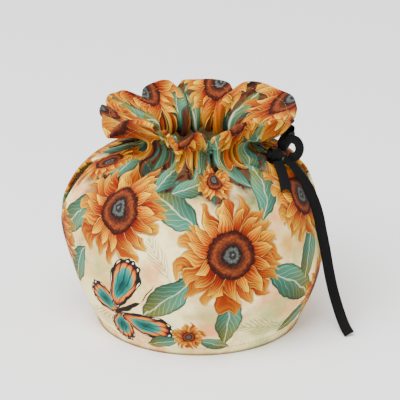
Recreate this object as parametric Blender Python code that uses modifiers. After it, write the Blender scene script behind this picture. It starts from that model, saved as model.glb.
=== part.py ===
"""A drawstring tea cosy, empty and standing on its hem.

Two cloth panels, front and back, are sewn together at the sides.  Each side seam is left open for a slit, one
for the spout at -X and one for the handle at +X.  A ribbon in the neck's casing draws the cloth in, so that
what is above it stands up as a ruffle.  The ribbon is tied in a bow at the handle side, with two loops, a
short tail and a long one.

Metres, +Z up, the table at z = 0.  The front is -Y.
"""

import math
from collections import namedtuple

import bmesh
import bpy
from mathutils import Vector

MM = 0.001

# Driving sizes of the cloth.
HEM_THICKNESS = 2.8 * MM  # the turned and sewn edges, at the hem and at the ruffle's rim
SINGLE_SHARE = 0.75  # of that thickness, everywhere else
SEAM_GAP = 0.4 * MM  # between the two panels at a side seam
NECK_RADIUS = 40.5 * MM
NECK_HEIGHT = 136 * MM
DROOP_AZIMUTH, DROOP_SPREAD = -14, 16  # degrees, where the ruffle sags over the bow
SPOUT_BULGE = 12 * MM  # how far the spout's root pushes the cloth out
BULGE_HEIGHT = 88 * MM
BULGE_RISE = 34 * MM
BULGE_SPREAD = 34  # degrees round the side
AXIS_X = 4.5 * MM  # the neck's axis, so that the origin is the middle of the outline
QUIET_HEM = 25 * MM  # below this height folds and bulge die out, so that the hem is flat

# The ribbon.
RIBBON_WIDTH = 7.5 * MM
RIBBON_THICKNESS = 0.9 * MM
NOTCH = 3.5 * MM  # the depth of the short tail's V-shaped cut
KNOT_SIZE = (14 * MM, 10.5 * MM, 9.5 * MM)
KNOT_PLACE = (54, -18.6, 131.3)  # mm from the neck's axis

# How finely the pieces are divided.
COLUMNS = 76
ROWS = 22
RIBBON_COLUMNS = 4

# The body from the hem to just below the neck, a row for each section.
Section = namedtuple("Section", "height radius")
BODY = [
    Section(0, 73.4),
    Section(2.5, 73.4),
    Section(14, 79.5),
    Section(30, 86.0),
    Section(48, 89.6),
    Section(67, 89.4),
    Section(85, 87.0),
    Section(101, 82.5),
    Section(112, 77.5),
    Section(120, 70.0),
    Section(126, 60.0),
    Section(132, 50.0),
]

# The ruffle's rim, a row for each lobe or dip: its azimuth at the neck in degrees from +X, how far it swings
# round from there, its reach from the axis and its height.  Two rows that swing to each other fold the rim over.
Lobe = namedtuple("Lobe", "azimuth swing reach height")
RIM = [
    Lobe(-178, 0, 69.2, 152),
    Lobe(-172, 0, 68.7, 147.5),
    Lobe(-165, 0, 66, 143.5),
    Lobe(-159, 0, 63.5, 152),
    Lobe(-152, 1, 59, 159.5),
    Lobe(-146, 4, 55, 161.5),
    Lobe(-141, 7, 50, 160.5),
    Lobe(-136, 5, 44, 154),
    Lobe(-131, -4, 37, 146),
    Lobe(-126, -9, 38, 152),
    Lobe(-120, -7, 40, 153),
    Lobe(-113, -1, 39, 144.5),
    Lobe(-104, 0, 39.5, 149),
    Lobe(-94, 2, 38, 155.5),
    Lobe(-84, 2, 37, 151),
    Lobe(-77, 0, 35.5, 147.5),
    Lobe(-68, 0, 41, 154),
    Lobe(-58, 2, 42, 156.5),
    Lobe(-49, 0, 43, 159),
    Lobe(-37, 2, 48.5, 159.5),
    Lobe(-28, 0, 49.5, 155),
    Lobe(-18, -1, 58.5, 157),
    Lobe(-8, 0, 67, 152),
    Lobe(6, 0, 70, 152),
    Lobe(17, 0, 74, 152.5),
    Lobe(26, 0, 76, 154),
    Lobe(38, 0, 74, 154.3),
    Lobe(49, 2, 71, 156.3),
    Lobe(56, 3, 66, 155.8),
    Lobe(64, 0, 57, 150.8),
    Lobe(71, -2, 62, 154.8),
    Lobe(80, 0, 63, 156.3),
    Lobe(91, 0, 61.5, 156.3),
    Lobe(99, 2, 61.5, 155.8),
    Lobe(106, 0, 55.5, 151.8),
    Lobe(112, -2, 64.5, 155.8),
    Lobe(120, 0, 66, 155.3),
    Lobe(128, 2, 63, 153.8),
    Lobe(135, 0, 57, 149.8),
    Lobe(141, -1, 69, 153.8),
    Lobe(148, 0, 71.5, 154.8),
    Lobe(156, 0, 72.5, 155.3),
    Lobe(163, 0, 69, 151.3),
    Lobe(170, 0, 71.7, 155),
]

# The creases that the drawstring pulls in: azimuth, depth, half width in degrees, how far each runs down the
# body and up the ruffle, and how many degrees it turns over 20 mm of its way down.
Crease = namedtuple("Crease", "azimuth depth width down up turn")
CREASES = [
    Crease(-180, 5, 5.0, 20, 14, 0),
    Crease(-166, 7, 5.5, 22, 16, -3),
    Crease(-153, 5, 4.5, 26, 12, -6),
    Crease(-134, 15, 6.5, 34, 34, -6),
    Crease(-120, 6, 4.5, 16, 16, -3),
    Crease(-108, 7, 4.5, 26, 20, -2),
    Crease(-95, 6, 4.0, 14, 12, -1),
    Crease(-86, 9, 5.0, 30, 22, 1),
    Crease(-74, 9, 4.5, 20, 24, 2),
    Crease(-62, 6, 4.5, 26, 12, 5),
    Crease(-50, 7, 4.5, 16, 16, 6),
    Crease(-40, 9, 5.0, 38, 18, 10),
    Crease(-27, 8, 4.5, 20, 28, 10),
    Crease(-14, 6, 4.5, 36, 14, 13),
    Crease(0, 5, 4.5, 16, 12, 0),
    Crease(14, 7, 4.5, 20, 14, 2),
    Crease(31, 8, 5.5, 24, 18, -3),
    Crease(46, 6, 4.5, 28, 14, -4),
    Crease(63, 11, 5.5, 22, 30, -3),
    Crease(79, 7, 4.5, 18, 14, 0),
    Crease(93, 7, 4.5, 28, 16, 2),
    Crease(106, 10, 5.0, 20, 28, 3),
    Crease(120, 7, 4.5, 20, 14, 3),
    Crease(134, 11, 5.0, 24, 28, 4),
    Crease(150, 7, 4.5, 22, 14, 3),
    Crease(165, 7, 5.0, 20, 16, 2),
]

# The openings left in the side seams: lowest and highest point, counted in sections from the hem, and half
# the width.
Slit = namedtuple("Slit", "low high half_width")
SPOUT_SLIT = Slit(4.6, 9.2, 11 * MM)
HANDLE_SLIT = Slit(4.0, 10.0, 9 * MM)

# Ribbon routes in mm from the neck's axis.  Each row also has the direction of the ribbon's width, as an
# azimuth and an angle above the horizontal.
Stop = namedtuple("Stop", "x y z across rise")
DRAWSTRING_END = [
    Stop(42.4, -12, 137.2, -75, 0),
    Stop(45.2, -13.6, 136.0, -75, 0),
    Stop(47.6, -15.2, 134.2, -75, 0),
]
LONG_TAIL = [
    Stop(60.9, -19.3, 129.1, 0, -22),
    Stop(67.1, -20.5, 125.1, 6, -30),
    Stop(75, -26, 115.5, 5, -30),
    Stop(81.7, -30, 102.2, 5, -22),
    Stop(85.4, -30.5, 90.4, 5, -14),
    Stop(87.9, -29.5, 77.3, 5, -8),
    Stop(90.6, -27.5, 63.1, 5, -8),
    Stop(93.6, -26, 45.4, 5, -10),
    Stop(96.5, -27, 31.6, 5, -12),
    Stop(99.1, -29, 22.3, 0, -8),
    Stop(102.3, -33, 13, -5, 0),
    Stop(105.5, -37.5, 6, -12, 0),
    Stop(108.5, -42.5, 2.4, -18, 0),
]
SHORT_TAIL = [
    Stop(56.1, -23.9, 129.2, 8, 0),
    Stop(58.5, -31.5, 125.6, 8, -4),
    Stop(60.3, -38.8, 121.6, 7, -6),
    Stop(61.4, -45.9, 117.6, 7, -6),
]
FRONT_LOOP = [
    Stop(59.4, -13.5, 133, 141, -4),
    Stop(59.8, -13, 137, 139, 0),
    Stop(62.2, -12.6, 139.4, 121, 16),
    Stop(65.6, -11, 140.7, 88, 26),
    Stop(69.8, -10, 138.7, 54, 12),
    Stop(71.9, -10, 134.2, 37, -12),
    Stop(71.2, -11, 129.8, 31, -42),
    Stop(68.3, -13, 127.8, 44, -68),
    Stop(64, -15, 128.2, 106, -76),
]
BACK_LOOP = [
    Stop(57.6, -6.6, 132.9, 51, -43),
    Stop(59.8, -0.5, 135.6, 51, -43),
    Stop(62.2, 4, 137.7, 51, -43),
    Stop(64.9, 8, 139, 51, -43),
    Stop(66.4, 10, 139.4, 51, -43),
    Stop(67.2, 9.5, 137.8, 51, -43),
    Stop(66.4, 6.5, 136, 51, -43),
    Stop(64.2, 1, 134.6, 51, -43),
    Stop(61.2, -5, 132.1, 51, -43),
]


def hermite(a, b, slope_a, slope_b, t):
    """A cubic from a to b, with the slopes at its two ends."""
    return (
        a * (1 + 2 * t) * (1 - t) ** 2
        + slope_a * t * (1 - t) ** 2
        + b * t * t * (3 - 2 * t)
        - slope_b * t * t * (1 - t)
    )


def along(points, t):
    """A smooth curve through the points; t counts the points."""
    last = len(points) - 1
    i = max(0, min(int(t), last - 1))
    before, here, there, after = (points[max(0, min(last, k))] for k in (i - 1, i, i + 1, i + 2))
    return hermite(here, there, (there - before) / 2, (after - here) / 2, t - i)


def turn_between(a, b):
    """The turn from azimuth a to azimuth b, from -180 to 180 degrees."""
    return (b - a + 180) % 360 - 180


def direction(azimuth, rise=0):
    """The unit vector at an azimuth and an angle above the horizontal, in degrees."""
    a, r = math.radians(azimuth), math.radians(rise)
    return Vector((math.cos(a) * math.cos(r), math.sin(a) * math.cos(r), math.sin(r)))


def rim_at(azimuth):
    """Swing in degrees, reach and height of the ruffle's rim, on a closed smooth curve through the lobes."""
    count = len(RIM)
    i = min(range(count), key=lambda k: (azimuth - RIM[k].azimuth) % 360)
    rows = [RIM[(i + k) % count] for k in (-1, 0, 1, 2)]
    gaps = [turn_between(rows[k].azimuth, rows[k + 1].azimuth) for k in range(3)]
    values = [Vector((row.swing, row.reach * MM, row.height * MM)) for row in rows]
    slope_here = (values[2] - values[0]) / (gaps[0] + gaps[1]) * gaps[1]
    slope_next = (values[3] - values[1]) / (gaps[1] + gaps[2]) * gaps[1]
    t = ((azimuth - rows[1].azimuth) % 360) / gaps[1]
    return hermite(values[1], values[2], slope_here, slope_next, t)


def meridian(azimuth):
    """Sections from hem to rim at one azimuth, as (radius, height)."""
    body = [Vector((section.radius, section.height)) * MM for section in BODY]
    neck = Vector((NECK_RADIUS, NECK_HEIGHT))
    rim = rim_at(azimuth).yz
    rise = rim - neck
    droop = math.exp(-((turn_between(DROOP_AZIMUTH, azimuth) / DROOP_SPREAD) ** 2))
    low = neck + Vector(((0.20 + 0.22 * droop) * rise.x, (0.32 - 0.24 * droop) * rise.y))
    high = neck + Vector(((0.58 + 0.20 * droop) * rise.x, (0.70 - 0.25 * droop) * rise.y))
    return [*body, neck, low, high, rim]


SPANS = len(BODY) + 3


def bulge(azimuth, height):
    """How far the spout's root pushes the cloth out."""
    side = turn_between(180, azimuth) / BULGE_SPREAD
    level = (height - BULGE_HEIGHT) / BULGE_RISE
    return SPOUT_BULGE * math.exp(-side * side - level * level)


def creased(azimuth, from_neck):
    """How far the gathers pull the cloth in, at a distance along it from the neck, negative on the body."""
    depth = 0
    for crease in CREASES:
        reach = crease.up if from_neck > 0 else crease.down
        fade = math.exp(-((from_neck / MM / reach) ** 2))
        middle = crease.azimuth + crease.turn * max(0, -from_neck / MM) / 20
        off = turn_between(middle, azimuth) / crease.width
        depth += crease.depth * MM * fade * math.exp(1.5 * (0.25 - math.hypot(off, 0.25)))
    return depth


def cloth_point(azimuth, t):
    """A point of the cloth's outer face; t counts sections from the hem."""
    sections = meridian(azimuth)
    place = along(sections, t)
    slope = (along(sections, t + 0.05) - along(sections, t - 0.05)).normalized()
    outwards = Vector((slope.y, -slope.x))
    neck = sections[len(BODY)]
    up_ruffle = max(0, t - len(BODY)) / (SPANS - len(BODY))
    from_neck = (place - neck).length * (1 if up_ruffle else -1)
    fade = min(1, place.y / QUIET_HEM) ** 2 * (1 - up_ruffle**2)
    place -= outwards * creased(azimuth, from_neck) * fade
    place.x += bulge(azimuth, place.y) * fade
    azimuth += rim_at(azimuth).x * up_ruffle**1.3
    return direction(azimuth) * place.x + Vector((AXIS_X, 0, place.y))


def slit_opening(slit, t):
    """Half the gap in a side seam: the seam's own gap, or the slit."""
    share = (t - slit.low) / (slit.high - slit.low)
    if not 0 < share < 1:
        return SEAM_GAP / 2
    return SEAM_GAP / 2 + slit.half_width * math.sin(math.pi * share) ** 0.8


def panel_point(side, across, t):
    """A point of one panel; across runs from the handle's side to the spout's, side is -1 in front and 1 at
    the back."""
    edges = []
    for azimuth, slit in ((0, HANDLE_SLIT), (180, SPOUT_SLIT)):
        radius = abs(cloth_point(azimuth, t).x - AXIS_X)
        edges.append(math.degrees(slit_opening(slit, t) / radius))
    azimuth = edges[0] + across * (180 - edges[0] - edges[1])
    return cloth_point(side * azimuth, t)


def material(name, colour, roughness):
    made = bpy.data.materials.new(name)
    made.use_nodes = True
    surface = made.node_tree.nodes["Principled BSDF"]
    surface.inputs["Base Color"].default_value = (*colour, 1)
    surface.inputs["Roughness"].default_value = roughness
    surface.inputs["Metallic"].default_value = 0
    return made


def grid(name, columns, rows, place, finish):
    """A grid of faces, each point put where place(across, up) says."""
    cage = bmesh.new()
    bmesh.ops.create_grid(cage, x_segments=columns, y_segments=rows, size=0.5)
    for vertex in cage.verts:
        vertex.co = place(vertex.co.x + 0.5, vertex.co.y + 0.5)
    mesh = bpy.data.meshes.new(name)
    cage.to_mesh(mesh)
    cage.free()
    mesh.materials.append(finish)
    mesh.shade_smooth()
    return bpy.data.objects.new(name, mesh)


def thicken(obj, thickness, offset):
    shell = obj.modifiers.new("thickness", "SOLIDIFY")
    shell.thickness = thickness
    shell.offset = offset
    shell.use_rim = True
    return shell


def section_of_row(row):
    """The first row of faces is the straight edge of the hem; the others share the rest evenly."""
    return row if row < 1 else 1 + (row - 1) * (SPANS - 1) / (ROWS - 1)


def panel(name, side, collection, cloth):
    """Half of the cover, from the hem to the ruffle's rim."""

    def place(across, up):
        return panel_point(side, across if side < 0 else 1 - across, section_of_row(round(up * ROWS)))

    obj = grid(name, COLUMNS, ROWS, place, cloth)
    collection.objects.link(obj)
    doubled = obj.vertex_groups.new(name="doubled")
    for vertex in obj.data.vertices:
        row = vertex.index // (COLUMNS + 1)
        doubled.add([vertex.index], 1.0 if row <= 1 or row >= ROWS - 1 else 0.0, "REPLACE")
    shell = thicken(obj, HEM_THICKNESS, 1)
    shell.vertex_group = doubled.name
    shell.thickness_vertex_group = SINGLE_SHARE
    trim_to_seam(obj, side)


def trim_to_seam(obj, side):
    """Apply the modifiers, then press what leans over the side seams back to its own side of them."""
    bpy.context.view_layer.update()
    graph = bpy.context.evaluated_depsgraph_get()
    mesh = bpy.data.meshes.new_from_object(obj.evaluated_get(graph), depsgraph=graph)
    for vertex in mesh.vertices:
        vertex.co.y = side * max(side * vertex.co.y, SEAM_GAP / 2)
    obj.modifiers.clear()
    obj.data = mesh


def ribbon(name, stops, notch, collection, finish):
    """A flat ribbon whose middle runs through the stops; notch is the depth of the V cut into its end."""
    route = [Vector((AXIS_X / MM + stop.x, stop.y, stop.z)) * MM for stop in stops]
    widths = [direction(stop.across, stop.rise) for stop in stops]
    spans = len(stops) - 1

    def place(across, up):
        t = up * spans
        here = along(route, t)
        onward = (along(route, t + 0.01) - along(route, t - 0.01)).normalized()
        width = along(widths, t)
        width = (width - onward * width.dot(onward)).normalized()
        point = here + width * RIBBON_WIDTH * (across - 0.5)
        if up == 1:
            point += onward * notch * abs(2 * across - 1)
        return point

    obj = grid(name, RIBBON_COLUMNS, 3 * spans, place, finish)
    thicken(obj, RIBBON_THICKNESS, 0)
    collection.objects.link(obj)


def knot(name, collection, finish):
    """The knot of the bow, a rounded lump that the ribbons come out of."""
    cage = bmesh.new()
    bmesh.ops.create_uvsphere(cage, u_segments=16, v_segments=10, radius=0.5)
    mesh = bpy.data.meshes.new(name)
    for vertex in cage.verts:
        vertex.co = Vector(vertex.co[k] * KNOT_SIZE[k] for k in range(3))
    cage.to_mesh(mesh)
    cage.free()
    mesh.materials.append(finish)
    mesh.shade_smooth()
    obj = bpy.data.objects.new(name, mesh)
    obj.location = Vector(KNOT_PLACE) * MM + Vector((AXIS_X, 0, 0))
    collection.objects.link(obj)


def main():
    for obj in list(bpy.data.objects):
        bpy.data.objects.remove(obj)
    parts = bpy.data.collections.new("tea_cosy")
    bpy.context.scene.collection.children.link(parts)
    cloth = material("printed_cloth", (0.72, 0.42, 0.14), 0.8)
    black = material("black_ribbon", (0.012, 0.012, 0.014), 0.6)
    panel("front_panel", -1, parts, cloth)
    panel("back_panel", 1, parts, cloth)
    knot("tie_knot", parts, black)
    ribbon("tie_drawstring_end", DRAWSTRING_END, 0, parts, black)
    ribbon("tie_loop_front", FRONT_LOOP, 0, parts, black)
    ribbon("tie_loop_back", BACK_LOOP, 0, parts, black)
    ribbon("tie_tail_short", SHORT_TAIL, NOTCH, parts, black)
    ribbon("tie_tail_long", LONG_TAIL, 0, parts, black)


main()
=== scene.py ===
# %% [markdown]
# # A drawstring tea cosy in printed cloth
#
# The real thing is two panels of padded cotton, sewn at the sides with a gap for the spout and one for the
# handle.  A black ribbon in the neck's casing draws the top in, and what stands above it is a ruffle.
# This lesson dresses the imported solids: first the cloth, then its print, which is drawn with shader nodes
# alone, then the stitches, and last the ribbon and its bow.

import math
from collections import namedtuple

import bpy
import numpy as np
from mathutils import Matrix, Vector


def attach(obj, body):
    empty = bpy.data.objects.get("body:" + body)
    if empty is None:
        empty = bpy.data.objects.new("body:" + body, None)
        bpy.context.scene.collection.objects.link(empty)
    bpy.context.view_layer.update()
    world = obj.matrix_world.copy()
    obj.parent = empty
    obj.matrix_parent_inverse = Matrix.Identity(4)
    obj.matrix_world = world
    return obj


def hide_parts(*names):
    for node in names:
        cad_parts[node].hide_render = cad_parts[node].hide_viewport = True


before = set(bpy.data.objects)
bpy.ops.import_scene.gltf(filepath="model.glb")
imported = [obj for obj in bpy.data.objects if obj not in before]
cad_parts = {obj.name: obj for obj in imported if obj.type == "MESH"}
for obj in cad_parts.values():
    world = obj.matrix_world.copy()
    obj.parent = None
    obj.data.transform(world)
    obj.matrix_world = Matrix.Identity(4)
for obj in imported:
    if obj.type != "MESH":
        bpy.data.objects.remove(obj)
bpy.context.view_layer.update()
MM = 0.001
print("solids:", sorted(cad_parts))

# %% [markdown]
# ## Where the camera stands
#
# A camera some metres off with a long lens keeps the hem's curve shallow.  It looks down at 25 degrees, and
# its lens is shifted, so that the cosy stands in the middle of the picture while the perspective stays that
# of its foot.  The camera is set first.

# %% Camera
CAMERA_FAR = 2.6
CAMERA_DROP = math.radians(25)
FRAME_WIDTH = 0.292  # what the square picture shows at the cosy's distance
LENS_SHIFT = (0.0197, 0.28)


def placed(name, data):
    """A new object of this data, in the scene."""
    obj = bpy.data.objects.new(name, data)
    bpy.context.scene.collection.objects.link(obj)
    return obj


camera_data = bpy.data.cameras.new("camera")
camera = placed("camera", camera_data)
backwards = Vector((0, -math.cos(CAMERA_DROP), math.sin(CAMERA_DROP)))
camera.location = backwards * CAMERA_FAR
camera.rotation_euler = backwards.to_track_quat("Z", "Y").to_euler()
camera_data.lens = camera_data.sensor_width * CAMERA_FAR / FRAME_WIDTH
camera_data.shift_x, camera_data.shift_y = LENS_SHIFT
camera_data.clip_end = 20
bpy.context.scene.camera = camera
print("lens", round(camera_data.lens), "mm")

# %% [markdown]
# ## The form of the cloth
#
# Cloth that a drawstring gathers follows a rule: a plain round body, a neck, and a ruffle, all pulled in by
# creases that start at the string and die out along the cloth.  It could be simulated, but then the main
# folds fall where they like.  So the form is a function of two numbers: the azimuth round the cosy, and the
# section, counted from the hem up.  The tables are the solids' own, in millimetres.  Only the small creases
# that are added by chance are the scene's.

# %% Sections and lobes
AXIS_X = 4.5 * MM
NECK = Vector((40.5, 136)) * MM
Section = namedtuple("Section", "radius height")
BODY = [
    Section(73.4, 0),
    Section(73.4, 2.5),
    Section(79.5, 14),
    Section(86.0, 30),
    Section(89.6, 48),
    Section(89.4, 67),
    Section(87.0, 85),
    Section(82.5, 101),
    Section(77.5, 112),
    Section(70.0, 120),
    Section(60.0, 126),
    Section(50.0, 132),
]
Lobe = namedtuple("Lobe", "azimuth swing reach height")
RIM = [
    Lobe(-178, 0, 69.2, 152),
    Lobe(-172, 0, 68.7, 147.5),
    Lobe(-165, 0, 66, 143.5),
    Lobe(-159, 0, 63.5, 152),
    Lobe(-152, 1, 59, 159.5),
    Lobe(-146, 4, 55, 161.5),
    Lobe(-141, 7, 50, 160.5),
    Lobe(-136, 5, 44, 154),
    Lobe(-131, -4, 37, 146),
    Lobe(-126, -9, 38, 152),
    Lobe(-120, -7, 40, 153),
    Lobe(-113, -1, 39, 144.5),
    Lobe(-104, 0, 39.5, 149),
    Lobe(-94, 2, 38, 155.5),
    Lobe(-84, 2, 37, 151),
    Lobe(-77, 0, 35.5, 147.5),
    Lobe(-68, 0, 41, 154),
    Lobe(-58, 2, 42, 156.5),
    Lobe(-49, 0, 43, 159),
    Lobe(-37, 2, 48.5, 159.5),
    Lobe(-28, 0, 49.5, 155),
    Lobe(-18, -1, 58.5, 157),
    Lobe(-8, 0, 67, 152),
    Lobe(6, 0, 70, 152),
    Lobe(17, 0, 74, 152.5),
    Lobe(26, 0, 76, 154),
    Lobe(38, 0, 74, 154.3),
    Lobe(49, 2, 71, 156.3),
    Lobe(56, 3, 66, 155.8),
    Lobe(64, 0, 57, 150.8),
    Lobe(71, -2, 62, 154.8),
    Lobe(80, 0, 63, 156.3),
    Lobe(91, 0, 61.5, 156.3),
    Lobe(99, 2, 61.5, 155.8),
    Lobe(106, 0, 55.5, 151.8),
    Lobe(112, -2, 64.5, 155.8),
    Lobe(120, 0, 66, 155.3),
    Lobe(128, 2, 63, 153.8),
    Lobe(135, 0, 57, 149.8),
    Lobe(141, -1, 69, 153.8),
    Lobe(148, 0, 71.5, 154.8),
    Lobe(156, 0, 72.5, 155.3),
    Lobe(163, 0, 69, 151.3),
    Lobe(170, 0, 71.7, 155),
]
NECK_ROW = len(BODY)
TOP_ROW = NECK_ROW + 3
print(TOP_ROW, "sections,", len(RIM), "lobes and dips in the rim")

# %% Creases
# Azimuth, depth in mm, half width in degrees, how far it runs down the body and up the ruffle in mm, and
# the degrees that it turns over 20 mm of its way down.
Crease = namedtuple("Crease", "azimuth depth width down up turn")
CREASES = [
    Crease(-180, 5, 5.0, 20, 14, 0),
    Crease(-166, 7, 5.5, 22, 16, -3),
    Crease(-153, 5, 4.5, 26, 12, -6),
    Crease(-134, 15, 6.5, 34, 34, -6),
    Crease(-120, 6, 4.5, 16, 16, -3),
    Crease(-108, 7, 4.5, 26, 20, -2),
    Crease(-95, 6, 4.0, 14, 12, -1),
    Crease(-86, 9, 5.0, 30, 22, 1),
    Crease(-74, 9, 4.5, 20, 24, 2),
    Crease(-62, 6, 4.5, 26, 12, 5),
    Crease(-50, 7, 4.5, 16, 16, 6),
    Crease(-40, 9, 5.0, 38, 18, 10),
    Crease(-27, 8, 4.5, 20, 28, 10),
    Crease(-14, 6, 4.5, 36, 14, 13),
    Crease(0, 5, 4.5, 16, 12, 0),
    Crease(14, 7, 4.5, 20, 14, 2),
    Crease(31, 8, 5.5, 24, 18, -3),
    Crease(46, 6, 4.5, 28, 14, -4),
    Crease(63, 11, 5.5, 22, 30, -3),
    Crease(79, 7, 4.5, 18, 14, 0),
    Crease(93, 7, 4.5, 28, 16, 2),
    Crease(106, 10, 5.0, 20, 28, 3),
    Crease(120, 7, 4.5, 20, 14, 3),
    Crease(134, 11, 5.0, 24, 28, 4),
    Crease(150, 7, 4.5, 22, 14, 3),
    Crease(165, 7, 5.0, 20, 16, 2),
]
chance = np.random.default_rng(11)
for azimuth in np.arange(-177.0, 178.0, 4.9):
    depth, width, down, up = chance.uniform((0.6, 1.3, 7, 7), (2.2, 2.1, 20, 18))
    middle = azimuth + chance.uniform(-1.4, 1.4)
    CREASES.append(Crease(middle, depth, width, down, up, chance.uniform(-4, 4)))
print(len(CREASES), "creases, large and small")
SPOUT_BULGE = 12 * MM
BULGE_HEIGHT, BULGE_RISE, BULGE_SPREAD = 88 * MM, 34 * MM, 34
QUIET_HEM = 25 * MM
DROOP_AZIMUTH, DROOP_SPREAD = -14, 16  # where the ruffle sags over the bow


# %% The form as a function
def hermite(a, b, slope_a, slope_b, t):
    """A cubic from a to b, with the slopes at its two ends."""
    return (
        a * (1 + 2 * t) * (1 - t) ** 2
        + slope_a * t * (1 - t) ** 2
        + b * t * t * (3 - 2 * t)
        - slope_b * t * t * (1 - t)
    )


def along(points, t):
    """A smooth curve through the points; t counts the points.  The points are in the array's first axis."""
    last = len(points) - 1
    i = max(0, min(int(t), last - 1))
    before, here, there, after = (points[max(0, min(last, k))] for k in (i - 1, i, i + 1, i + 2))
    return hermite(here, there, (there - before) / 2, (after - here) / 2, t - i)


def turn_between(a, b):
    return (b - a + 180) % 360 - 180


def rim_at(azimuth):
    """Swing, reach and height of the rim at each azimuth, on a closed smooth curve through the lobes."""
    table = np.array(RIM, float)
    count = len(table)
    i = np.array([np.argmin((a - table[:, 0]) % 360) for a in azimuth])
    rows = [table[(i + k) % count] for k in (-1, 0, 1, 2)]
    gaps = [turn_between(rows[k][:, 0], rows[k + 1][:, 0])[:, None] for k in range(3)]
    values = [row[:, 1:] * (1, MM, MM) for row in rows]
    slope_here = (values[2] - values[0]) / (gaps[0] + gaps[1]) * gaps[1]
    slope_next = (values[3] - values[1]) / (gaps[1] + gaps[2]) * gaps[1]
    t = ((azimuth - rows[1][:, 0]) % 360)[:, None] / gaps[1]
    return hermite(values[1], values[2], slope_here, slope_next, t)


def meridians(azimuth):
    """Radius and height of every section at each azimuth: sections, azimuths, 2."""
    rim = rim_at(azimuth)[:, 1:]
    neck = np.array(NECK)
    rise = rim - neck
    body = [np.broadcast_to(np.array(section) * MM, rim.shape) for section in BODY]
    droop = np.exp(-((turn_between(DROOP_AZIMUTH, azimuth) / DROOP_SPREAD) ** 2))[:, None]
    low = neck + rise * (np.array((0.20, 0.32)) + droop * (0.22, -0.24))
    high = neck + rise * (np.array((0.58, 0.70)) + droop * (0.20, -0.25))
    return np.array([*body, np.broadcast_to(neck, rim.shape), low, high, rim])


def bulge(azimuth, height):
    """How far the spout's root pushes the cloth out."""
    side = turn_between(180, azimuth) / BULGE_SPREAD
    level = (height - BULGE_HEIGHT) / BULGE_RISE
    return SPOUT_BULGE * np.exp(-side * side - level * level)


def creased(azimuth, from_neck):
    """How far the gathers pull the cloth in, at a distance along it from the neck, negative on the body."""
    depth = np.zeros_like(azimuth)
    for crease in CREASES:
        reach = np.where(from_neck > 0, crease.up, crease.down)
        fade = np.exp(-((from_neck / MM / reach) ** 2))
        middle = crease.azimuth + crease.turn * np.maximum(0, -from_neck / MM) / 20
        off = turn_between(middle, azimuth) / crease.width
        depth += crease.depth * MM * fade * np.exp(1.5 * (0.25 - np.hypot(off, 0.25)))
    return depth


def cloth_row(azimuth, sections, t):
    """The cloth's outer face at one section t, a point for each azimuth."""
    place = along(sections, t)
    slope = along(sections, t + 0.05) - along(sections, t - 0.05)
    slope /= np.linalg.norm(slope, axis=1)[:, None]
    outwards = np.stack([slope[:, 1], -slope[:, 0]], 1)
    up_ruffle = max(0, t - NECK_ROW) / (TOP_ROW - NECK_ROW)
    from_neck = np.linalg.norm(place - sections[NECK_ROW], axis=1) * (1 if up_ruffle else -1)
    fade = np.minimum(1, place[:, 1] / QUIET_HEM) ** 2 * (1 - up_ruffle**2)
    place = place - outwards * (creased(azimuth, from_neck) * fade)[:, None]
    radius = place[:, 0] + bulge(azimuth, place[:, 1]) * fade
    angle = np.radians(azimuth + rim_at(azimuth)[:, 0] * up_ruffle**1.3)
    return np.stack([AXIS_X + radius * np.cos(angle), radius * np.sin(angle), place[:, 1]], 1)


test = meridians(np.array([-90.0, 0.0]))
print("front and side rim:", (test[-1] / MM).round(1).tolist())

# %% [markdown]
# ## The two panels
#
# A panel is a fine grid laid on that function, with a slit left in each side seam, and above and below the
# slits the two panels meet in a shallow groove, as sewn cloth does.  Solidify then gives each panel the
# thickness of two layers of cloth, a little more at the turned hem and rim.  Its UV map is the flat cloth
# in millimetres, so that the print runs over folds as ink does: across from the panel's middle, and up from
# the hem along the cloth.

# %% Panel sizes
CLOTH = 2.1 * MM
HEM = 2.8 * MM
GROOVE, GROOVE_SPREAD = 0.9 * MM, 2.0 * MM  # a side seam draws the cloth in
BELLY = 89.6  # mm, the radius at which the cloth lies flat and unstretched
COLUMNS, ROWS = 230, 150
HEM_DEPTH, RIM_DEPTH = 8, 6  # mm of doubled cloth at each edge
# The section of each row of the grid.  The first row of faces is the straight edge of the hem.
LEVELS = np.array([0.0] + [1 + (TOP_ROW - 1) * row / (ROWS - 1) for row in range(ROWS)])
Slit = namedtuple("Slit", "azimuth low high half_width")
SLITS = [Slit(0, 4.0, 10.0, 9 * MM), Slit(180, 4.6, 9.2, 11 * MM)]


def slit_degrees(slit, t, radius):
    share = (t - slit.low) / (slit.high - slit.low)
    width = slit.half_width * math.sin(math.pi * share) ** 0.8 if 0 < share < 1 else 0
    return math.degrees(width / radius)


def seam_groove(points, open_sides):
    """Draw a row of the cloth in along its two seams, but not where a slit is open."""
    right = points[:, 0] > AXIS_X
    sewn = np.where(right, not open_sides[0], not open_sides[1])
    depth = GROOVE * np.exp(-((points[:, 1] / GROOVE_SPREAD) ** 2)) * sewn
    points[:, 0] -= np.where(right, depth, -depth)
    return points


def panel_rows(side):
    """Points and flat coordinates of a panel's outer face, row by row from the hem."""
    seams = meridians(np.array([0.0, 180.0]))
    middle = meridians(np.array([side * 90.0]))
    points, flat, climbed, last = [], [], 0.0, None
    for t in LEVELS:
        centre = along(middle, t)[0]
        climbed += 0 if last is None else np.linalg.norm(centre - last)
        last = centre
        reach = along(seams, t)[:, 0]
        first, final = (slit_degrees(slit, t, r) for slit, r in zip(SLITS, reach))
        azimuth = side * np.linspace(first, 180 - final, COLUMNS + 1)
        row = cloth_row(azimuth, meridians(azimuth), t)
        points.append(seam_groove(row, (first > 0, final > 0)))
        across = np.radians(azimuth - side * 90) * BELLY
        flat.append(np.stack([across, np.full_like(across, climbed / MM)], 1))
    return np.array(points), np.array(flat)


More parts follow.
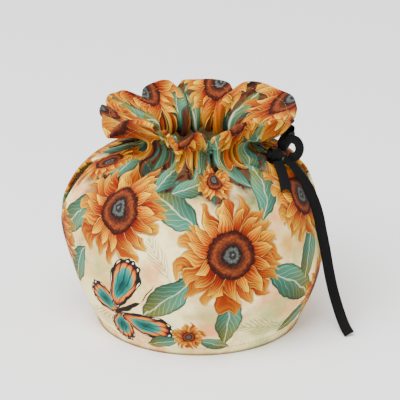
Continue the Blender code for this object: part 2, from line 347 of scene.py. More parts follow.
to_neck = meridians(np.array([-90.0]))
to_neck = np.array([along(to_neck, t)[0] for t in np.linspace(0, NECK_ROW, 200)])
NECK_UP = float(np.linalg.norm(np.diff(to_neck, axis=0), axis=1).sum() / MM)
print("the casing is", round(NECK_UP), "mm up the flat cloth")


# %% Make a panel
def grid_mesh(name, points, flat):
    """A mesh of quads from rows of points, with a UV map of the flat coordinates."""
    rows, columns = points.shape[:2]
    index = np.arange(rows * columns).reshape(rows, columns)
    quads = np.stack([index[:-1, :-1], index[1:, :-1], index[1:, 1:], index[:-1, 1:]], -1).reshape(-1, 4)
    mesh = bpy.data.meshes.new(name)
    mesh.from_pydata(points.reshape(-1, 3).tolist(), [], quads.tolist())
    layer = mesh.uv_layers.new(name="flat_cloth")
    layer.uv.foreach_set("vector", flat.reshape(-1, 2)[quads.reshape(-1)].astype(np.float32).ravel())
    return mesh


def applied(obj):
    """Replace an object's mesh by what its modifiers make of it."""
    bpy.context.view_layer.update()
    graph = bpy.context.evaluated_depsgraph_get()
    mesh = bpy.data.meshes.new_from_object(obj.evaluated_get(graph), depsgraph=graph)
    obj.modifiers.clear()
    obj.data = mesh
    return obj


def make_panel(name, side):
    points, flat = panel_rows(side)
    if side > 0:
        points, flat = points[:, ::-1], flat[:, ::-1]
    obj = placed(name, grid_mesh(name, points, flat))
    for finish in ("printed_cotton", "reverse_of_the_print"):
        obj.data.materials.append(bpy.data.materials.get(finish) or bpy.data.materials.new(finish))
    height = flat[:, 0, 1]
    doubled = obj.vertex_groups.new(name="doubled")
    edge = np.clip(1 - height / HEM_DEPTH, 0, 1) + np.clip(1 - (height[-1] - height) / RIM_DEPTH, 0, 1)
    for row, weight in enumerate(edge):
        first = row * (COLUMNS + 1)
        doubled.add(list(range(first, first + COLUMNS + 1)), float(weight), "REPLACE")
    shell = obj.modifiers.new("thickness", "SOLIDIFY")
    shell.thickness = HEM
    shell.offset = -1
    shell.material_offset = 1
    shell.vertex_group = doubled.name
    shell.thickness_vertex_group = CLOTH / HEM
    applied(obj)
    for vertex in obj.data.vertices:
        vertex.co.y = side * max(side * vertex.co.y, 0)
    obj.data.shade_smooth()
    return obj, height[-1]


front, tall_front = make_panel("front_cloth", -1)
back, tall_back = make_panel("back_cloth", 1)
print("front", len(front.data.polygons), "faces, flat height", round(tall_front), "mm")
print("back", len(back.data.polygons), "faces, flat height", round(tall_back), "mm")

# %% [markdown]
# ## Inks and the way a shader is built
#
# Every colour below is written as the hex value that a paint chart gives, and one function turns it into
# the linear numbers that Blender mixes.  One more function adds a node: what is written in capitals sets or
# feeds its inputs, and what is not sets its properties.

# %% Colour and node helpers
def ink(code):
    """A hex colour as linear red, green, blue and alpha."""
    parts = [int(code[i : i + 2], 16) / 255 for i in (1, 3, 5)]
    return (*(c / 12.92 if c <= 0.04045 else ((c + 0.055) / 1.055) ** 2.4 for c in parts), 1)


def add(tree, kind, *inputs, **settings):
    """Add a node, set or link its inputs in order or by name, and return its first live output."""
    whole = kind.startswith(("NodeGroup", "GeometryNode", "FunctionNode"))
    node = tree.nodes.new(kind if whole else "ShaderNode" + kind)
    named = {}
    for name, value in settings.items():
        if name[0].isupper():
            named[name.replace("_", " ")] = value
        else:
            setattr(node, name, value)
    live = [socket for socket in node.inputs if socket.enabled]
    pairs = [(socket, value) for socket, value in zip(live, inputs) if value is not None]
    pairs += [(socket, named[socket.name]) for socket in live if socket.name in named]
    for socket, value in pairs:
        if isinstance(value, bpy.types.NodeSocket):
            tree.links.new(value, socket)
        else:
            socket.default_value = value
    return next((socket for socket in node.outputs if socket.enabled), None)


def plain(name, code, roughness):
    """A material of one colour."""
    made = bpy.data.materials.new(name)
    made.use_nodes = True
    surface = made.node_tree.nodes["Principled BSDF"].inputs
    surface["Base Color"].default_value = ink(code)
    surface["Roughness"].default_value = roughness
    return made


def ramp(tree, value, stops, mode="EASE"):
    """A colour ramp through (position, hex) stops."""
    colour = add(tree, "ValToRGB", value)
    steps = colour.node.color_ramp
    steps.interpolation = mode
    while len(steps.elements) < len(stops):
        steps.elements.new(1.0)
    for element, (position, code) in zip(steps.elements, stops):
        element.position = position
        element.color = ink(code)
    return colour


def blend(tree, amount, under, over):
    """Over laid on under, where amount is one.  Each is a socket or a hex ink."""
    under, over = (ink(colour) if isinstance(colour, str) else colour for colour in (under, over))
    return add(tree, "Mix", amount, under, over, data_type="RGBA")


# %% [markdown]
# ## Where the printed motifs lie
#
# The print has big orange blooms over teal leaves, crowded on the ruffle and the shoulder, and a cream
# ground with a butterfly and faint fern sprigs lower down.  Both panels have the same layout.  Each motif
# has its place on the flat panel, in millimetres from the panel's middle and up from its hem.

# %% Tables of blooms, leaves and sprigs
Bloom = namedtuple("Bloom", "across up size turn")
BLOOMS = [
    Bloom(24, 86, 48, 12),
    Bloom(-68, 112, 47, 40),
    Bloom(104, 112, 42, 10),
    Bloom(120, 34, 32, 80),
    Bloom(-136, 74, 34, 65),
    Bloom(-22, 191, 44, 25),
    Bloom(62, 190, 42, 5),
    Bloom(-104, 193, 44, 55),
    Bloom(130, 194, 38, 33),
    Bloom(18, 144, 22, 15),
    Bloom(-126, 138, 27, 48),
    Bloom(-8, 20, 15, 20),
]
Leaf = namedtuple("Leaf", "across up length width turn")
LEAVES = [
    Leaf(76, 54, 62, 26, -35),
    Leaf(-22, 54, 54, 22, 220),
    Leaf(22, 34, 48, 20, -95),
    Leaf(66, 130, 54, 24, 60),
    Leaf(-20, 118, 52, 24, 150),
    Leaf(-108, 96, 54, 22, 235),
    Leaf(-106, 58, 46, 19, 235),
    Leaf(-100, 150, 50, 22, 100),
    Leaf(-36, 150, 50, 22, 70),
    Leaf(44, 152, 46, 20, 120),
    Leaf(96, 70, 48, 20, 250),
    Leaf(136, 84, 52, 22, 120),
    Leaf(86, 156, 48, 20, 40),
    Leaf(-68, 164, 46, 20, 95),
    Leaf(4, 162, 42, 18, 60),
    Leaf(30, 176, 44, 20, 110),
    Leaf(104, 172, 46, 20, 90),
    Leaf(-138, 120, 46, 20, 80),
    Leaf(-136, 40, 48, 18, 260),
    Leaf(132, 150, 46, 20, 70),
    Leaf(-136, 168, 44, 20, 110),
    Leaf(-30, 12, 32, 12, 195),
    Leaf(12, 12, 30, 11, -20),
    Leaf(92, 22, 46, 17, 210),
    Leaf(-8, 138, 44, 19, 25),
]
SPRIGS = [
    Leaf(-104, 62, 46, 17, 70),
    Leaf(-30, 84, 40, 15, 120),
    Leaf(-84, 22, 52, 17, 10),
    Leaf(52, 22, 56, 18, 165),
    Leaf(-126, 24, 40, 14, 120),
    Leaf(84, 98, 30, 12, 80),
]
print(len(BLOOMS), "blooms,", len(LEAVES), "leaves and", len(SPRIGS), "sprigs on each panel")

# %% [markdown]
# ## How a motif is drawn
#
# A shader has no list to walk through.  So each motif shifts, turns and scales the flat cloth into its own
# small coordinates, and at every point the nearest motif wins.  One chain of nodes then draws them all.


# %% The nearest motif
def nearest(tree, cloth, places, reach):
    """The nearest motif's own coordinates, with its number in thousandths in z, and how near it is."""
    here, near = None, None
    for number, (across, up, length, width, turn) in enumerate(places):
        local = add(
            tree,
            "Mapping",
            cloth,
            (across, up, -0.001 * number),
            (0, 0, math.radians(turn)),
            (length, width, 1),
            vector_type="TEXTURE",
        )
        distance = reach(tree, local)
        if here is None:
            here, near = local, distance
            continue
        closer = add(tree, "Math", distance, near, operation="LESS_THAN")
        here = add(tree, "Mix", closer, here, local, data_type="VECTOR")
        near = add(tree, "Math", near, distance, operation="MINIMUM")
    return here, near


def round_reach(tree, local):
    return add(tree, "VectorMath", local, operation="LENGTH").node.outputs["Value"]


def pointed_reach(tree, local):
    """One on the outline of a leaf with two pointed ends."""
    split = add(tree, "SeparateXYZ", local).node
    aside = add(tree, "Math", split.outputs["Y"], operation="ABSOLUTE")
    return add(tree, "Math", split.outputs["X"], split.outputs["X"], aside, operation="MULTIPLY_ADD")


# %% Blooms
# Each ring of petals cuts the turn into equal parts and gives every part a length and a lean by chance.
# The rings lie one on another, the outer one darkest, and each casts a dark edge on the one below.  Some
# petals, picked by chance, are dusky red near the disc.
Ring = namedtuple("Ring", "count reach phase shade")
RINGS = [Ring(15, 1.0, 0.5, 0.50), Ring(17, 0.92, 0.0, 0.20), Ring(15, 0.74, 0.3, 0.0)]
PETAL_INKS = [
    (0.0, "#260a08"),
    (0.40, "#480f0a"),
    (0.52, "#7e1f0c"),
    (0.63, "#ae3f06"),
    (0.74, "#cc6c02"),
    (0.86, "#de9a06"),
    (1.0, "#fbd040"),
]
DISC_INKS = [
    (0.0, "#767a70"),
    (0.12, "#22201f"),
    (0.26, "#585c58"),
    (0.40, "#221613"),
    (0.50, "#4c2014"),
    (0.72, "#7e3a1a"),
    (0.86, "#481a10"),
    (1.0, "#200a08"),
]
DISC = 0.37  # of the bloom's radius


def petal_ring(tree, turns, radius, number, ring, under):
    """One ring of petals drawn over the colour under it."""
    spread = add(tree, "Math", turns, ring.count, ring.phase, operation="MULTIPLY_ADD")
    cell = add(tree, "Math", spread, operation="FLOOR")
    cell = add(tree, "Math", cell, ring.count, 0.0, operation="WRAP")
    which = add(tree, "CombineXYZ", cell, number, ring.reach)
    chance = add(tree, "TexWhiteNoise", which, noise_dimensions="3D")
    lean = add(tree, "MapRange", chance, 0.0, 1.0, -0.70, -0.30)
    within = add(tree, "Math", spread, operation="FRACT")
    aside = add(tree, "Math", within, lean, operation="ADD")
    long = add(tree, "MapRange", chance, 0.0, 1.0, ring.reach * 0.80, ring.reach)
    along_petal = add(tree, "Math", radius, long, operation="DIVIDE")
    squared = add(tree, "Math", along_petal, along_petal, operation="MULTIPLY")
    left = add(tree, "Math", 1.0, squared, operation="SUBTRACT", use_clamp=True)
    swell = add(tree, "Math", left, 0.85, operation="POWER")
    half = add(tree, "Math", swell, 0.80, operation="MULTIPLY")
    off = add(tree, "Math", aside, operation="ABSOLUTE")
    inside = add(tree, "Math", half, off, operation="SUBTRACT")
    wide = add(tree, "Math", inside, radius, operation="MULTIPLY")
    colour = ramp(tree, along_petal, PETAL_INKS)
    tinge = add(tree, "MapRange", chance, 0.0, 1.0, 0.520, 0.488)
    colour = add(tree, "HueSaturation", tinge, 1.0, 1.0, 1.0, colour)
    across = add(tree, "Math", aside, half, operation="DIVIDE")
    ribs = add(tree, "Math", across, 15.0, operation="MULTIPLY")
    wave = add(tree, "Math", ribs, operation="SINE")
    deep = add(tree, "MapRange", along_petal, 0.35, 1.0, 0.9, 0.25)  # most at the disc
    vein = add(tree, "Math", wave, deep, operation="MULTIPLY", use_clamp=True)
    colour = blend(tree, vein, colour, "#6c2002")
    pale = add(tree, "MapRange", along_petal, 0.5, 0.9, 0.0, -0.6)
    strand = add(tree, "Math", wave, pale, operation="MULTIPLY", use_clamp=True)
    colour = blend(tree, strand, colour, "#f6c01c")
    turned = add(tree, "MapRange", across, -1.0, 0.2, 0.8, 0.0)
    colour = blend(tree, turned, colour, "#842c02")
    chosen = add(tree, "MapRange", chance, 0.40, 0.95)
    dusky = add(tree, "Math", chosen, deep, operation="MULTIPLY")
    colour = blend(tree, dusky, colour, "#5c0f06")
    colour = blend(tree, ring.shade, colour, "#8a2c02")
    edge = add(tree, "MapRange", wide, 0.006, 0.022, 0.8, 0.0)
    colour = blend(tree, edge, colour, "#ffdf60")
    beyond = add(tree, "MapRange", along_petal, 0.97, 1.0, 0.75, 0.0)
    cast = add(tree, "MapRange", wide, -0.05, 0.0, 0.0, beyond)
    under = blend(tree, cast, under, "#34100a")
    mask = add(tree, "MapRange", wide, 0.0, 0.012)
    return blend(tree, mask, under, colour)


def flower(tree, cloth, under):
    """Draw the blooms over the colour that is under them."""
    places = [(bloom.across, bloom.up, bloom.size, bloom.size, bloom.turn) for bloom in BLOOMS]
    here, radius = nearest(tree, cloth, places, round_reach)
    split = add(tree, "SeparateXYZ", here).node
    number = add(tree, "Math", split.outputs["Z"], 1000.0, operation="MULTIPLY")
    angle = add(tree, "Math", split.outputs["Y"], split.outputs["X"], operation="ARCTAN2")
    turns = add(tree, "MapRange", angle, -math.pi, math.pi, 0.0, 1.0)
    drift = add(tree, "TexNoise", here, Scale=1.6, Detail=1.0)
    sway = add(tree, "MapRange", drift, 0.25, 0.75, -0.06, 0.06)
    turns = add(tree, "Math", sway, radius, turns, operation="MULTIPLY_ADD")
    colour = under
    for ring in RINGS:
        colour = petal_ring(tree, turns, radius, number, ring, colour)
    grain = add(tree, "TexNoise", here, Scale=26.0, Detail=2.0)
    rough = add(tree, "Math", grain, 0.09, radius, operation="MULTIPLY_ADD")
    across_disc = add(tree, "MapRange", rough, 0.045, DISC + 0.045, 0.0, 1.0)
    disc = ramp(tree, across_disc, DISC_INKS)
    dots = add(tree, "TexVoronoi", here, Scale=30.0)
    speck = add(tree, "MapRange", dots, 0.1, 0.6, 1.25, 0.65)
    disc = add(tree, "VectorMath", disc, speck, operation="MULTIPLY")
    mask = add(tree, "MapRange", rough, DISC + 0.035, DISC + 0.055, 1.0, 0.0)
    return blend(tree, mask, colour, disc)


# %% Leaves
# Teal, sage and olive, one half in the light and the other in shade, with pale ribs and a dark edge.
LEAF_INKS = [(0.0, "#0c332c"), (0.25, "#1b5044"), (0.5, "#3f7862"), (0.72, "#646628"), (1.0, "#303816")]


def leaf_coordinates(tree, cloth, table):
    """The nearest leaf's coordinates, how far off its midrib and how near it is, and a saw for its ribs."""
    places = [(leaf.across, leaf.up, leaf.length / 2, leaf.width / 2, leaf.turn) for leaf in table]
    here, near = nearest(tree, cloth, places, pointed_reach)
    split = add(tree, "SeparateXYZ", here).node
    off = add(tree, "Math", split.outputs["Y"], operation="ABSOLUTE")
    slant = add(tree, "Math", off, -0.7, split.outputs["X"], operation="MULTIPLY_ADD")
    row = add(tree, "Math", slant, 4.5, operation="MULTIPLY")
    saw = add(tree, "Math", row, 0.5, operation="PINGPONG")
    return split, off, near, saw


def leaves(tree, cloth, under):
    split, off, near, saw = leaf_coordinates(tree, cloth, LEAVES)
    chance = add(tree, "TexWhiteNoise", None, split.outputs["Z"], noise_dimensions="1D")
    tone = add(tree, "Math", split.outputs["X"], 0.18, chance, operation="MULTIPLY_ADD")
    colour = ramp(tree, tone, LEAF_INKS)
    side = add(tree, "MapRange", saw, 0.0, 0.10, 0.3, 0.0)
    colour = blend(tree, side, colour, "#d7dcae")
    light = add(tree, "MapRange", split.outputs["Y"], -0.6, 0.6, 0.5, 1.1)
    colour = add(tree, "VectorMath", colour, light, operation="MULTIPLY")
    middle = add(tree, "MapRange", off, 0.015, 0.06, 0.55, 0.0)
    colour = blend(tree, middle, colour, "#e2e0b4")
    rim = add(tree, "MapRange", near, 0.80, 0.94, 0.0, 0.8)
    colour = blend(tree, rim, colour, "#14302a")
    mask = add(tree, "MapRange", near, 0.96, 1.0, 1.0, 0.0)
    return blend(tree, mask, under, colour)


def sprigs(tree, cloth, under):
    """Faint ferns: only every other strip between the ribs of a leaf is inked, and the stem."""
    _, off, near, saw = leaf_coordinates(tree, cloth, SPRIGS)
    leaflet = add(tree, "MapRange", saw, 0.24, 0.32, 0.0, 1.0)
    stem = add(tree, "MapRange", off, 0.03, 0.07, 1.0, 0.0)
    drawn = add(tree, "Math", leaflet, stem, operation="MAXIMUM")
    mask = add(tree, "MapRange", near, 0.8, 1.0, 0.6, 0.0)
    faint = add(tree, "Math", drawn, mask, operation="MULTIPLY")
    return blend(tree, faint, under, "#86764a")


# %% The butterfly
# Its wings are mirrored by the absolute value of one coordinate.  Each is an ellipse that widens towards
# its tip.  Veins fan out of its root and scallop its dark rim, and a pale spot lies in every bay of the
# rim.
BUTTERFLY = (-58, 38, 36, 36, 28)  # across, up, half its span both ways, turn
Wing = namedtuple("Wing", "ahead aside long broad turn")
WINGS = [Wing(-0.38, 0.33, 0.43, 0.34, 130), Wing(0.27, 0.49, 0.62, 0.36, 38)]
WING_INKS = [(0.10, "#123f3c"), (0.35, "#17625a"), (0.58, "#34887a"), (0.70, "#d07a1c"), (0.84, "#a8340e")]
BODY_AND_FEELER = [(0.05, 0, 0.44, 0.06, 0), (0.72, 0.14, 0.28, 0.014, 28)]


def wing_reach(tree, local):
    """One on the outline of a wing whose root is at minus one."""
    split = add(tree, "SeparateXYZ", local).node
    broad = add(tree, "Math", split.outputs["X"], 0.34, 0.86, operation="MULTIPLY_ADD")
    aside = add(tree, "Math", split.outputs["Y"], broad, operation="DIVIDE")
    return round_reach(tree, add(tree, "CombineXYZ", split.outputs["X"], aside))


def butterfly(tree, cloth, under):
    here, _ = nearest(tree, cloth, [BUTTERFLY], round_reach)
    split = add(tree, "SeparateXYZ", here).node
    aside = add(tree, "Math", split.outputs["Y"], operation="ABSOLUTE")
    folded = add(tree, "CombineXYZ", split.outputs["X"], aside)
    colour = under
    for wing in WINGS:
        local, near = nearest(tree, folded, [wing], wing_reach)
        from_root = add(tree, "SeparateXYZ", local).node
        ahead = add(tree, "Math", from_root.outputs["X"], 1.2, operation="ADD")
        fan = add(tree, "Math", from_root.outputs["Y"], ahead, operation="ARCTAN2")
        ribs = add(tree, "Math", fan, 29.0, operation="MULTIPLY")
        wave = add(tree, "Math", ribs, operation="SINE")
        scallop = add(tree, "Math", wave, 0.03, near, operation="MULTIPLY_ADD")
        grain = add(tree, "TexNoise", local, Scale=4.0, Detail=3.0)
        ragged = add(tree, "Math", grain, 0.10, scallop, operation="MULTIPLY_ADD")
        shade = ramp(tree, ragged, WING_INKS)
        rib = add(tree, "MapRange", wave, 0.60, 0.96, 0.0, 0.85)
        shade = blend(tree, rib, shade, "#0c2022")
        rim = add(tree, "MapRange", ragged, 0.80, 0.87, 0.0, 1.0)
        shade = blend(tree, rim, shade, "#15171a")
        band = add(tree, "Math", ragged, -0.935, operation="ADD")
        band = add(tree, "Math", band, operation="ABSOLUTE")
        band = add(tree, "MapRange", band, 0.018, 0.034, 0.9, 0.0)
        bay = add(tree, "MapRange", wave, -0.45, -0.75, 0.0, 1.0)
        spot = add(tree, "Math", band, bay, operation="MULTIPLY")
        shade = blend(tree, spot, shade, "#fbeebc")
        mask = add(tree, "MapRange", ragged, 1.03, 1.05, 1.0, 0.0)
        colour = blend(tree, mask, colour, shade)
    _, trunk = nearest(tree, folded, BODY_AND_FEELER, round_reach)
    mask = add(tree, "MapRange", trunk, 0.9, 1.0, 1.0, 0.0)
    return blend(tree, mask, colour, "#1c1512")


# %% [markdown]
# ## The ground of the print
#
# The ground is cream, clouded with tea-coloured, rose and sage stains like old paper.  High on the panel it
# turns to dark foliage, so that no cream shows between the crowded blooms of the ruffle.


# %% Ground
def ground(tree, cloth):
    colour = ink("#ffeeae")
    stains = [("#cf9538", 0.018, 0.45, 0.66), ("#e68f58", 0.027, 0.49, 0.66), ("#9aae66", 0.022, 0.50, 0.67)]
    for number, (code, scale, low, high) in enumerate(stains):
        shifted = add(tree, "VectorMath", cloth, (300.0 * number, 90.0, 0.0), operation="ADD")
        cloud = add(tree, "TexNoise", shifted, Scale=scale, Detail=5.0, Roughness=0.6)
        amount = add(tree, "MapRange", cloud, low, high, 0.0, 0.9)
        colour = blend(tree, amount, colour, code)
    fleck = add(tree, "TexNoise", cloth, Scale=0.4, Detail=3.0)
    amount = add(tree, "MapRange", fleck, 0.62, 0.72, 0.0, 0.25)
    return blend(tree, amount, colour, "#b99c6c")


FOLIAGE_INKS = [
    (0.34, "#140b08"),
    (0.44, "#3a1610"),
    (0.52, "#5e3216"),
    (0.58, "#1d3c33"),
    (0.68, "#38705e"),
    (0.80, "#7e5c26"),
]


def foliage(tree, cloth, under):
    """The dark leafy ground of the upper part."""
    split = add(tree, "SeparateXYZ", cloth).node
    rise = add(tree, "Math", split.outputs["X"], -0.06, split.outputs["Y"], operation="MULTIPLY_ADD")
    edge = add(tree, "TexNoise", cloth, Scale=0.045, Detail=4.0)
    ragged = add(tree, "Math", edge, 60.0, rise, operation="MULTIPLY_ADD")
    amount = add(tree, "MapRange", ragged, 145.0, 162.0)
    tone = add(tree, "TexNoise", cloth, Scale=0.045, Detail=3.0, Distortion=2.5)
    return blend(tree, amount, under, ramp(tree, tone, FOLIAGE_INKS, "LINEAR"))


# %% The whole print as one node group
def printed_pattern():
    tree = bpy.data.node_groups.new("printed pattern", "ShaderNodeTree")
    tree.interface.new_socket("Flat", in_out="INPUT", socket_type="NodeSocketVector")
    tree.interface.new_socket("Color", in_out="OUTPUT", socket_type="NodeSocketColor")
    flat = add(tree, "NodeGroupInput")
    waver = add(tree, "TexNoise", flat, Scale=0.07, Detail=2.0).node.outputs["Color"]
    shake = add(tree, "VectorMath", waver, (0.5, 0.5, 0.5), operation="SUBTRACT")
    cloth = add(tree, "VectorMath", shake, (7.0, 7.0, 0.0), flat, operation="MULTIPLY_ADD")
    colour = ground(tree, cloth)
    colour = sprigs(tree, cloth, colour)
    colour = foliage(tree, cloth, colour)
    colour = butterfly(tree, cloth, colour)
    colour = leaves(tree, cloth, colour)
    colour = flower(tree, cloth, colour)
    add(tree, "NodeGroupOutput", colour)
    print("printed pattern:", len(tree.nodes), "nodes")
    return tree


pattern = printed_pattern()

# %% [markdown]
# ## The printed cotton and its reverse
#
# Plain woven cotton, printed by rotary screen: matt, with a slight bloom of loose fibre at grazing angles
# and a weave that only just shows.  The real threads are 0.35 mm apart, too fine for a texture of the whole
# panel, so the weave is drawn at 1.1 mm.  The ruffle is a doubled strip and shows the print on both faces.
# Inside the body the reverse shows: pale, with the ink just coming through.  The fold of the hem is painted
# dark: painted shade, standing for the contact shadow where the hem meets the floor.


# %% Cotton
WEAVE_SCALE = 0.286  # a wave texture repeats every 0.314 mm at scale 1, so every 1.1 mm here
STRIP_DEPTH = 13  # mm below the drawstring, to which the ruffle's doubled strip reaches inside


def cotton(name, inner):
    made = bpy.data.materials[name]
    made.use_nodes = True
    tree = made.node_tree
    surface = tree.nodes["Principled BSDF"]
    flat = add(tree, "UVMap", uv_map="flat_cloth")
    colour = add(tree, "Group", flat, node_tree=pattern)
    height = add(tree, "SeparateXYZ", flat).node.outputs["Y"]
    if inner:
        bare = add(tree, "MapRange", height, NECK_UP - STRIP_DEPTH, NECK_UP - STRIP_DEPTH + 1, 0.72, 0.0)
        colour = blend(tree, bare, colour, "#c9b78e")
    # The hem's lowest two millimetres are darkened: painted shade for the contact shadow on the floor.
    painted_hem_shade = add(tree, "MapRange", height, 0.6, 2.2, 0.75, 0.0)
    colour = blend(tree, painted_hem_shade, colour, "#4a3a24")
    tree.links.new(colour, surface.inputs["Base Color"])
    surface.inputs["Roughness"].default_value = 0.85
    surface.inputs["Specular IOR Level"].default_value = 0.12
    surface.inputs["Sheen Weight"].default_value = 0.02
    warp = add(tree, "TexWave", flat, Scale=WEAVE_SCALE, wave_type="BANDS", bands_direction="X")
    weft = add(tree, "TexWave", flat, Scale=WEAVE_SCALE, wave_type="BANDS", bands_direction="Y")
    weave = add(tree, "Math", warp.node.outputs["Fac"], weft.node.outputs["Fac"], operation="MULTIPLY")
    bump = add(tree, "Bump", Strength=0.35, Distance=0.00012, Height=weave)
    tree.links.new(bump, surface.inputs["Normal"])
    return made


for name, inner in (("printed_cotton", False), ("reverse_of_the_print", True)):
    print(cotton(name, inner).name)

# %% [markdown]
# ## Stitches
#
# Machine stitches hold the turned hem, the turned rim of the ruffle, the two sides of the casing and the
# bound edges of the slits.  Each line is a string of points taken from the cloth's own grid, so that it
# dips into every gather.  A Geometry Nodes tree walks along it and lays a small rounded stitch at every
# pitch.  Real stitches are 2.5 mm long and a quarter of a millimetre thick.  These are a third, so that
# they show.


# %% The stitching tree
def socket_id(tree, name):
    return next(item.identifier for item in tree.interface.items_tree if item.name == name)


def stitching_tree():
    tree = bpy.data.node_groups.new("stitches", "GeometryNodeTree")
    sizes = {"Pitch": "Float", "Length": "Float", "Thickness": "Float", "Seed": "Int", "Thread": "Material"}
    for name, kind in {"Lines": "Geometry", **sizes}.items():
        tree.interface.new_socket(name, in_out="INPUT", socket_type="NodeSocket" + kind)
    tree.interface.new_socket("Stitches", in_out="OUTPUT", socket_type="NodeSocketGeometry")
    given = add(tree, "NodeGroupInput").node.outputs
    line = add(tree, "GeometryNodeMeshToCurve", given["Lines"])
    line = add(tree, "GeometryNodeResampleCurve", line, mode="LENGTH", Length=given["Pitch"])
    forward = add(tree, "GeometryNodeInputTangent")
    turned = add(tree, "FunctionNodeAlignRotationToVector", Vector=forward, axis="Z")
    ball = add(tree, "GeometryNodeMeshUVSphere", 6, 4, 0.5)
    vary = add(tree, "FunctionNodeRandomValue", data_type="FLOAT", Min=0.88, Max=1.08, Seed=given["Seed"])
    long = add(tree, "Math", given["Length"], vary, operation="MULTIPLY")
    size = add(tree, "CombineXYZ", given["Thickness"], given["Thickness"], long)
    laid = add(tree, "GeometryNodeInstanceOnPoints", line, Instance=ball, Rotation=turned, Scale=size)
    real = add(tree, "GeometryNodeRealizeInstances", laid)
    done = add(tree, "GeometryNodeSetMaterial", real, Material=given["Thread"])
    add(tree, "NodeGroupOutput", add(tree, "GeometryNodeSetShadeSmooth", done))
    return tree


stitching = stitching_tree()
# Polyester thread: smooth, with a little shine, in a tan that sinks into the print.
thread = plain("polyester_thread", "#94702f", 0.55)
print("stitching tree:", len(stitching.nodes), "nodes")


# %% Lines to stitch
CASING = 7  # mm from the drawstring to each line of stitches beside it
LIFT_OUTSIDE, LIFT_INSIDE = 0.1 * MM, 0.12 * MM  # how far the stitches' middles lie off the two faces


def level_of(flat, height):
    return int(np.argmin(abs(flat[:, 0, 1] - height)))


def stitch_lines(side):
    """Strings of points just off a panel's two faces."""
    points, flat = panel_rows(side)
    down, beside = np.gradient(points, axis=0), np.gradient(points, axis=1)
    normal = np.cross(beside, down) * side
    normal /= np.linalg.norm(normal, axis=2)[:, :, None]
    outside, inside = points + normal * LIFT_OUTSIDE, points - normal * (CLOTH + LIFT_INSIDE)
    top = flat[-1, 0, 1]
    rows = [(outside, HEM_DEPTH), (outside, top - RIM_DEPTH), (inside, top - RIM_DEPTH)]
    rows += [(outside, NECK_UP - CASING), (outside, NECK_UP + CASING), (inside, NECK_UP + CASING)]
    lines = [face[level_of(flat, height), 2:-2] for face, height in rows]
    for slit, column in zip(SLITS, (4, -5)):
        open_rows = (LEVELS > slit.low - 0.3) & (LEVELS < slit.high + 0.3)
        lines.append(outside[open_rows, column])
    return lines


def stitch_panel(name, side):
    verts, edges = [], []
    for line in stitch_lines(side):
        first = len(verts)
        verts += line.tolist()
        edges += [(first + k, first + k + 1) for k in range(len(line) - 1)]
    mesh = bpy.data.meshes.new(name)
    mesh.from_pydata(verts, edges, [])
    obj = placed(name, mesh)
    made = obj.modifiers.new("stitches", "NODES")
    made.node_group = stitching
    values = {"Pitch": 3.2 * MM, "Length": 2.5 * MM, "Thickness": 0.34 * MM, "Seed": 3, "Thread": thread}
    for key, value in values.items():
        made[socket_id(stitching, key)] = value
    applied(obj)
    print(name, len(obj.data.polygons), "faces")
    return obj


front_stitches = stitch_panel("front_stitches", -1)
back_stitches = stitch_panel("back_stitches", 1)

# %% [markdown]
# ## The ribbon
#
# The tie is a narrow black grosgrain ribbon: polyester woven with thick weft, so that low ribs run across
# it.  It is matt; the tops of the ribs are painted a little lighter, a painted highlight, mottled by wear.
# Each length is a strip swept along a smooth route, with a direction for its width at every stop.  The knot
# is a rounded core with one turn of ribbon round it, as a pulled bow has.

# %% Routes in mm from the neck's axis
RIBBON_WIDTH, RIBBON_THICKNESS, NOTCH = 7.5 * MM, 0.8 * MM, 3.5 * MM
RIBBON_CURL = 0.4 * MM  # how far the edges of the hanging ends curl
Stop = namedtuple("Stop", "x y z across rise")
DRAWSTRING_END = [
    Stop(42.4, -12, 137.2, -75, 0),
    Stop(45.2, -13.6, 136.0, -75, 0),
    Stop(47.6, -15.2, 134.2, -75, 0),
]
LONG_TAIL = [
    Stop(60.9, -19.3, 129.1, 0, -22),
    Stop(67.1, -20.5, 125.1, 6, -30),
    Stop(75, -26, 115.5, 5, -30),
    Stop(81.7, -30, 102.2, 5, -22),
    Stop(85.4, -30.5, 90.4, 5, -14),
    Stop(87.9, -29.5, 77.3, 5, -8),
    Stop(90.6, -27.5, 63.1, 5, -8),
    Stop(93.6, -26, 45.4, 5, -10),
    Stop(96.5, -27, 31.6, 5, -12),
    Stop(99.1, -29, 22.3, 0, -8),
    Stop(102.3, -33, 13, -5, 0),
    Stop(105.5, -37.5, 6, -12, 0),
    Stop(108.5, -42.5, 2.4, -18, 0),
]
SHORT_TAIL = [
    Stop(56.1, -23.9, 129.2, 8, 0),
    Stop(58.5, -31.5, 125.6, 8, -4),
    Stop(60.3, -38.8, 121.6, 7, -6),
    Stop(61.4, -45.9, 117.6, 7, -6),
]
FRONT_LOOP = [
    Stop(59.4, -13.5, 133, 141, -4),
    Stop(59.8, -13, 137, 139, 0),
    Stop(62.2, -12.6, 139.4, 121, 16),
    Stop(65.6, -11, 140.7, 88, 26),
    Stop(69.8, -10, 138.7, 54, 12),
    Stop(71.9, -10, 134.2, 37, -12),
    Stop(71.2, -11, 129.8, 31, -42),
    Stop(68.3, -13, 127.8, 44, -68),
    Stop(64, -15, 128.2, 106, -76),
]
BACK_LOOP = [
    Stop(57.6, -6.6, 132.9, 51, -43),
    Stop(59.8, -0.5, 135.6, 51, -43),
    Stop(62.2, 4, 137.7, 51, -43),
    Stop(64.9, 8, 139, 51, -43),
    Stop(66.4, 10, 139.4, 51, -43),
    Stop(67.2, 9.5, 137.8, 51, -43),
    Stop(66.4, 6.5, 136, 51, -43),
    Stop(64.2, 1, 134.6, 51, -43),
    Stop(61.2, -5, 132.1, 51, -43),
]
KNOT = Vector((54 + AXIS_X / MM, -18.6, 131.3)) * MM


# %% Grosgrain
RIB_SCALE = 0.34  # 0.92 mm from rib to rib


